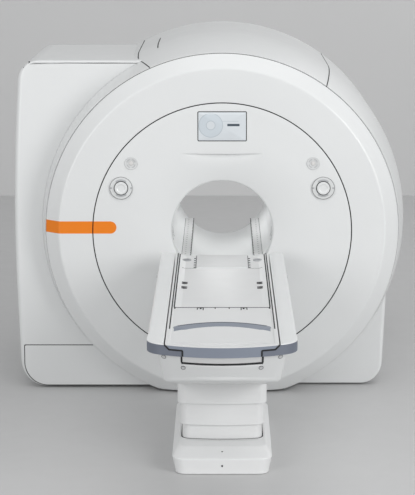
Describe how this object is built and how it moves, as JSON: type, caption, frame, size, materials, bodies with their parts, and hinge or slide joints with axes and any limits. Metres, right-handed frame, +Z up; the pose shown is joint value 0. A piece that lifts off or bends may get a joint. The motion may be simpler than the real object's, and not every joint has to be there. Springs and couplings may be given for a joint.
{
  "type": "mri scanner",
  "caption": "Horizontal-bore magnetic resonance scanner with side cabinet, round front covers and a fixed patient table with lift and sliding top.",
  "frame": {"origin": "on the floor under the middle of the magnet, at the centre of its floor anchors", "axes": "+Z up, +Y into the bore from the table's side, +X to the right seen from the table"},
  "size_m": [2.3883, 3.8517, 2.1309],
  "materials": {
    "vessel_steel": "brushed stainless steel",
    "cold_aluminium": "plain rolled aluminium",
    "coil_copper": "resin-filled copper windings, dull",
    "gradient_resin": "windings cast in green filled resin",
    "laminate": "pale glass-fibre laminate",
    "liner_plastic": "smooth pale bore liner, satin",
    "painted_steel": "grey powder coat",
    "frame_aluminium": "extruded aluminium, satin",
    "shell_white": "moulded off-white covers, satin paint",
    "table_white": "moulded off-white table covers, satin paint",
    "band_grey": "blue-grey satin band",
    "tray_white": "off-white laminate over a foam core",
    "trim_grey": "blue-grey moulded trim",
    "base_grey": "pale grey powder coat",
    "sleeve_grey": "pale grey satin paint on folded sheet",
    "dark_plastic": "dark grey moulded plastic",
    "key_plastic": "grey soft-touch keys",
    "stop_red": "red push button",
    "screen_glass": "glossy display window",
    "belt_rubber": "toothed drive belt",
    "machined_steel": "turned steel",
    "cap_plastic": "push-in screw caps"
  },
  "bodies": {
    "gantry": {"magnet_vessel": "vessel_steel", "thermal_shield": "cold_aluminium", "helium_vessel": "vessel_steel", "suspension_rods": "machined_steel", "main_coils": "coil_copper", "gradient_coil": "gradient_resin", "gradient_mounts": "laminate", "body_coil": "laminate", "bore_liner": "liner_plastic", "bore_rails": "tray_white", "bore_ledges": "liner_plastic", "magnet_feet": "painted_steel", "service_turret": "vessel_steel", "cold_head": "machined_steel", "cover_frames": "frame_aluminium", "front_disc_cover": "shell_white", "front_ring_cover": "shell_white", "top_cowl": "shell_white", "side_shell_left": "shell_white", "side_shell_right": "shell_white", "rear_cover": "shell_white", "cabinet_cover": "shell_white", "cabinet_lid": "shell_white", "kick_panel": "shell_white", "cabinet_frame": "painted_steel", "power_unit": "painted_steel", "right_skirt": "shell_white", "display_housing": "shell_white", "display_screen": "screen_glass", "control_bezels": "trim_grey", "stop_bezels": "key_plastic", "sleeve_lower": "sleeve_grey", "table_base_plate": "machined_steel", "table_base_cover": "base_grey", "lift_column_fixed": "frame_aluminium"},
    "lift": {"lift_column_moving": "frame_aluminium", "table_frame": "frame_aluminium", "table_rails": "frame_aluminium", "drive_belt": "belt_rubber", "drive_motor": "dark_plastic", "table_side_covers": "table_white", "foot_band": "band_grey", "table_body_cover": "table_white", "screw_caps": "cap_plastic"},
    "middle_sleeve": {"sleeve_middle": "sleeve_grey"},
    "outer_sleeve": {"sleeve_outer": "sleeve_grey"},
    "tabletop": {"tabletop_tray": "tray_white", "tabletop_end": "tray_white", "tabletop_trim": "trim_grey", "coil_sockets": "dark_plastic"},
    "pulley_drive": {"drive_pulley": "machined_steel"},
    "pulley_idler": {"idler_pulley": "machined_steel"},
    "knob_left": {"control_knob_left": "shell_white"},
    "knob_right": {"control_knob_right": "shell_white"},
    "key_upper_left": {"upper_key_left": "key_plastic"},
    "key_upper_right": {"upper_key_right": "key_plastic"},
    "key_lower_left": {"lower_key_left": "key_plastic"},
    "key_lower_right": {"lower_key_right": "key_plastic"},
    "stop_left": {"stop_button_left": "stop_red"},
    "stop_right": {"stop_button_right": "stop_red"}
  },
  "joints": [
    {"name": "table_lift", "type": "slide", "parent": "gantry", "child": "lift", "axis": [0, 0, 1], "range_m": [-0.3, 0]},
    {"name": "middle_sleeve_slide", "type": "slide", "parent": "gantry", "child": "middle_sleeve", "axis": [0, 0, 1], "range_m": [-0.08, 0]},
    {"name": "outer_sleeve_slide", "type": "slide", "parent": "gantry", "child": "outer_sleeve", "axis": [0, 0, 1], "range_m": [-0.2, 0]},
    {"name": "tabletop_travel", "type": "slide", "parent": "lift", "child": "tabletop", "axis": [0, 1, 0], "range_m": [0, 1.65]},
    {"name": "drive_pulley_spin", "type": "hinge", "parent": "lift", "child": "pulley_drive", "pos_m": [0, -1.005, 0.771], "axis": [1, 0, 0], "range_deg": [-4400, 0]},
    {"name": "idler_pulley_spin", "type": "hinge", "parent": "lift", "child": "pulley_idler", "pos_m": [0, -2.761, 0.771], "axis": [1, 0, 0], "range_deg": [-4400, 0]},
    {"name": "knob_left_turn", "type": "hinge", "parent": "gantry", "child": "knob_left", "pos_m": [-0.59701, -0.78, 1.26456], "axis": [0, 1, 0], "range_deg": [-35, 35], "stiffness_Nm_per_rad": 0.3},
    {"name": "key_upper_left_press", "type": "slide", "parent": "gantry", "child": "key_upper_left", "axis": [0, 1, 0], "range_m": [0, 0.002], "stiffness_N_per_m": 400},
    {"name": "key_lower_left_press", "type": "slide", "parent": "gantry", "child": "key_lower_left", "axis": [0, 1, 0], "range_m": [0, 0.002], "stiffness_N_per_m": 400},
    {"name": "stop_left_press", "type": "slide", "parent": "gantry", "child": "stop_left", "axis": [0, 1, 0], "range_m": [0, 0.003], "stiffness_N_per_m": 600},
    {"name": "knob_right_turn", "type": "hinge", "parent": "gantry", "child": "knob_right", "pos_m": [0.59701, -0.78, 1.26456], "axis": [0, 1, 0], "range_deg": [-35, 35], "stiffness_Nm_per_rad": 0.3},
    {"name": "key_upper_right_press", "type": "slide", "parent": "gantry", "child": "key_upper_right", "axis": [0, 1, 0], "range_m": [0, 0.002], "stiffness_N_per_m": 400},
    {"name": "key_lower_right_press", "type": "slide", "parent": "gantry", "child": "key_lower_right", "axis": [0, 1, 0], "range_m": [0, 0.002], "stiffness_N_per_m": 400},
    {"name": "stop_right_press", "type": "slide", "parent": "gantry", "child": "stop_right", "axis": [0, 1, 0], "range_m": [0, 0.003], "stiffness_N_per_m": 600}
  ],
  "couplings": [
    {"joint": "middle_sleeve_slide", "follows": "table_lift", "ratio": 0.2567},
    {"joint": "outer_sleeve_slide", "follows": "table_lift", "ratio": 0.65},
    {"joint": "drive_pulley_spin", "follows": "tabletop_travel", "rad_per_m": -46.512},
    {"joint": "idler_pulley_spin", "follows": "tabletop_travel", "rad_per_m": -46.512}
  ]
}
